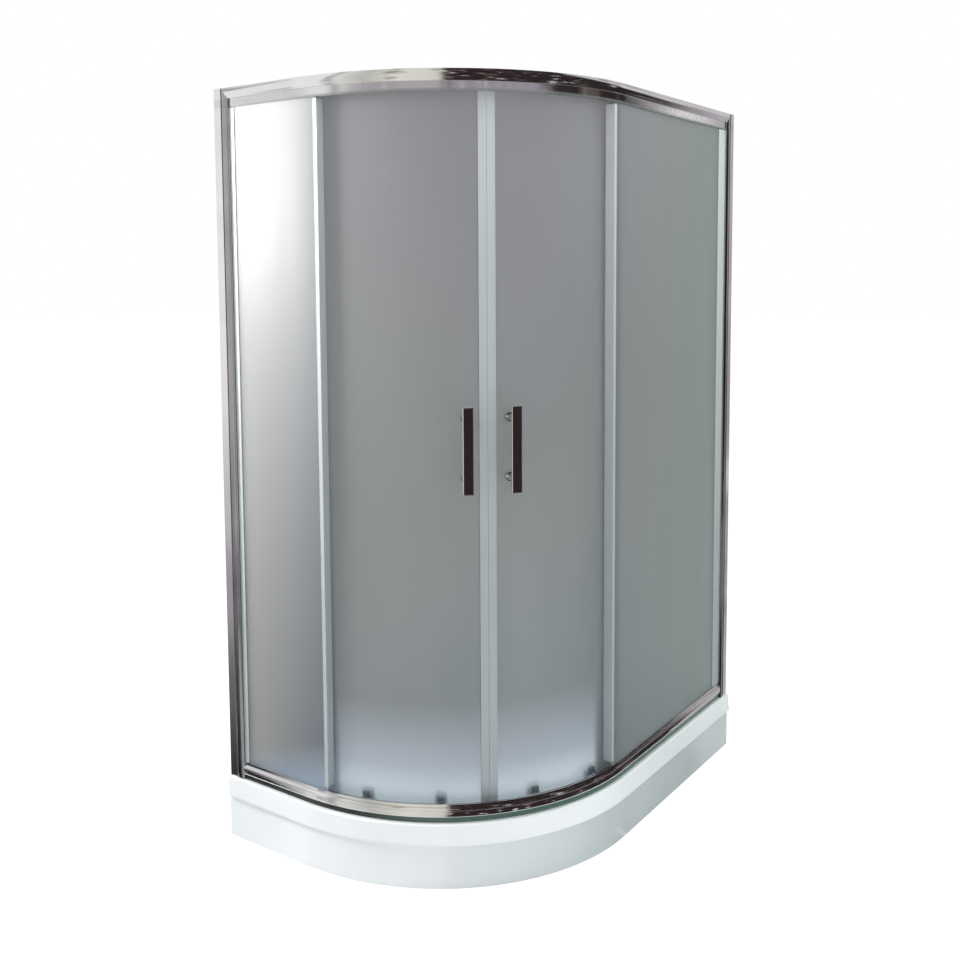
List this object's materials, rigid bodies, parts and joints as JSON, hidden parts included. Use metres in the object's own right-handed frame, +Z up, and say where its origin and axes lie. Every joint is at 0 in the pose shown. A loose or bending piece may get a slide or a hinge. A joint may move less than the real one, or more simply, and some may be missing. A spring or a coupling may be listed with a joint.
{
  "type": "quadrant shower enclosure",
  "caption": "Offset quadrant shower enclosure on a raised tray, with two curved frosted glass doors that slide apart between two fixed panels.",
  "frame": {"origin": "on the floor at the middle of the tray's bounding rectangle", "axes": "+Z up, +X along the long wall towards the short wall, +Y towards the long wall"},
  "size_m": [1.2, 0.8, 1.8],
  "materials": {
    "white_acrylic": "gloss",
    "polished_profile": "bright polished",
    "chrome": "polished",
    "frosted_glass": "acid etched inside",
    "clear_seal": "translucent soft plastic",
    "grey_plastic": "fine satin",
    "wheel_plastic": "satin",
    "zinc_steel": "zinc plated",
    "black_rubber": "matt",
    "white_plastic": "satin"
  },
  "bodies": {
    "enclosure": {"shower_tray": "white_acrylic", "front_panel": "white_acrylic", "panel_clips": "grey_plastic", "support_rails": "zinc_steel", "leg_studs": "zinc_steel", "leg_nuts": "zinc_steel", "foot_pads": "black_rubber", "drain_body": "white_plastic", "drain_flange": "chrome", "drain_seal": "black_rubber", "drain_nut": "white_plastic", "wall_channel_left": "polished_profile", "wall_channel_right": "polished_profile", "side_profile_left": "polished_profile", "side_profile_right": "polished_profile", "adjusting_screws": "zinc_steel", "corner_blocks": "grey_plastic", "rail_screws": "zinc_steel", "top_rail": "polished_profile", "bottom_rail": "polished_profile", "fixed_glass_left": "frosted_glass", "fixed_glass_right": "frosted_glass", "edge_seal_left": "clear_seal", "edge_seal_right": "clear_seal", "glazing_gaskets": "clear_seal", "door_stops": "black_rubber"},
    "left_door": {"left_door_glass": "frosted_glass", "left_magnet_seal": "clear_seal", "left_rear_seal": "clear_seal", "left_handle_bar": "chrome", "left_handle_posts": "chrome", "left_handle_screws": "chrome", "left_top_roller_mounts": "grey_plastic", "left_bottom_roller_mounts": "grey_plastic", "left_roller_bolts": "zinc_steel", "left_roller_caps": "chrome"},
    "right_door": {"right_door_glass": "frosted_glass", "right_magnet_seal": "clear_seal", "right_rear_seal": "clear_seal", "right_handle_bar": "chrome", "right_handle_posts": "chrome", "right_handle_screws": "chrome", "right_top_roller_mounts": "grey_plastic", "right_bottom_roller_mounts": "grey_plastic", "right_roller_bolts": "zinc_steel", "right_roller_caps": "chrome"},
    "left_top_wheel_front": {"left_top_wheel_front": "wheel_plastic"},
    "left_bottom_wheel_front": {"left_bottom_wheel_front": "wheel_plastic"},
    "left_release_button_front": {"left_release_button_front": "grey_plastic"},
    "left_top_wheel_rear": {"left_top_wheel_rear": "wheel_plastic"},
    "left_bottom_wheel_rear": {"left_bottom_wheel_rear": "wheel_plastic"},
    "left_release_button_rear": {"left_release_button_rear": "grey_plastic"},
    "right_top_wheel_front": {"right_top_wheel_front": "wheel_plastic"},
    "right_bottom_wheel_front": {"right_bottom_wheel_front": "wheel_plastic"},
    "right_release_button_front": {"right_release_button_front": "grey_plastic"},
    "right_top_wheel_rear": {"right_top_wheel_rear": "wheel_plastic"},
    "right_bottom_wheel_rear": {"right_bottom_wheel_rear": "wheel_plastic"},
    "right_release_button_rear": {"right_release_button_rear": "grey_plastic"},
    "waste_cover": {"drain_dome": "chrome"}
  },
  "joints": [
    {"name": "left_door_slide", "type": "hinge", "parent": "enclosure", "child": "left_door", "pos_m": [-0.0048, 0.1642, 0.15], "axis": [0, 0, -1], "range_deg": [0, 23.2]},
    {"name": "right_door_slide", "type": "hinge", "parent": "enclosure", "child": "right_door", "pos_m": [-0.0137, 0.296, 0.15], "axis": [0, 0, 1], "range_deg": [0, 19.6]},
    {"name": "left_top_wheel_front_spin", "type": "hinge", "parent": "left_door", "child": "left_top_wheel_front", "pos_m": [-0.46915, -0.15008, 1.7742], "axis": [-0.8131, -0.5821, 0], "range_deg": [-10, 1200]},
    {"name": "left_bottom_wheel_front_spin", "type": "hinge", "parent": "left_door", "child": "left_bottom_wheel_front", "pos_m": [-0.46915, -0.15008, 0.1782], "axis": [-0.8131, -0.5821, 0], "range_deg": [-10, 1200]},
    {"name": "left_release_button_front_press", "type": "slide", "parent": "left_door", "child": "left_release_button_front", "axis": [-0.8131, -0.5821, 0], "range_m": [0, 0.004], "stiffness_N_per_m": 500, "springref_m": -0.001},
    {"name": "left_top_wheel_rear_spin", "type": "hinge", "parent": "left_door", "child": "left_top_wheel_rear", "pos_m": [-0.54553, 0.00791, 1.7742], "axis": [-0.9613, -0.2756, 0], "range_deg": [-10, 1200]},
    {"name": "left_bottom_wheel_rear_spin", "type": "hinge", "parent": "left_door", "child": "left_bottom_wheel_rear", "pos_m": [-0.54553, 0.00791, 0.1782], "axis": [-0.9613, -0.2756, 0], "range_deg": [-10, 1200]},
    {"name": "left_release_button_rear_press", "type": "slide", "parent": "left_door", "child": "left_release_button_rear", "axis": [-0.9613, -0.2756, 0], "range_m": [0, 0.004], "stiffness_N_per_m": 500, "springref_m": -0.001},
    {"name": "right_top_wheel_front_spin", "type": "hinge", "parent": "right_door", "child": "right_top_wheel_front", "pos_m": [-0.30149, -0.29999, 1.7742], "axis": [0.4879, 0.8729, 0], "range_deg": [-10, 1190]},
    {"name": "right_bottom_wheel_front_spin", "type": "hinge", "parent": "right_door", "child": "right_bottom_wheel_front", "pos_m": [-0.30149, -0.29999, 0.1782], "axis": [0.4879, 0.8729, 0], "range_deg": [-10, 1190]},
    {"name": "right_release_button_front_press", "type": "slide", "parent": "right_door", "child": "right_release_button_front", "axis": [-0.4879, -0.8729, 0], "range_m": [0, 0.004], "stiffness_N_per_m": 500, "springref_m": -0.001},
    {"name": "right_top_wheel_rear_spin", "type": "hinge", "parent": "right_door", "child": "right_top_wheel_rear", "pos_m": [-0.13597, -0.35828, 1.7742], "axis": [0.1668, 0.986, 0], "range_deg": [-10, 1200]},
    {"name": "right_bottom_wheel_rear_spin", "type": "hinge", "parent": "right_door", "child": "right_bottom_wheel_rear", "pos_m": [-0.13597, -0.35828, 0.1782], "axis": [0.1668, 0.986, 0], "range_deg": [-10, 1200]},
    {"name": "right_release_button_rear_press", "type": "slide", "parent": "right_door", "child": "right_release_button_rear", "axis": [-0.1668, -0.986, 0], "range_m": [0, 0.004], "stiffness_N_per_m": 500, "springref_m": -0.001},
    {"name": "waste_cover_lift", "type": "slide", "parent": "enclosure", "child": "waste_cover", "axis": [0, 0, 1], "range_m": [0, 0.04]}
  ],
  "couplings": [
    {"joint": "left_top_wheel_front_spin", "follows": "left_door_slide", "ratio": 50.974},
    {"joint": "left_bottom_wheel_front_spin", "follows": "left_door_slide", "ratio": 50.974},
    {"joint": "left_top_wheel_rear_spin", "follows": "left_door_slide", "ratio": 51.169},
    {"joint": "left_bottom_wheel_rear_spin", "follows": "left_door_slide", "ratio": 51.169},
    {"joint": "right_top_wheel_front_spin", "follows": "right_door_slide", "ratio": 60.167},
    {"joint": "right_bottom_wheel_front_spin", "follows": "right_door_slide", "ratio": 60.167},
    {"joint": "right_top_wheel_rear_spin", "follows": "right_door_slide", "ratio": 60.51},
    {"joint": "right_bottom_wheel_rear_spin", "follows": "right_door_slide", "ratio": 60.51}
  ]
}
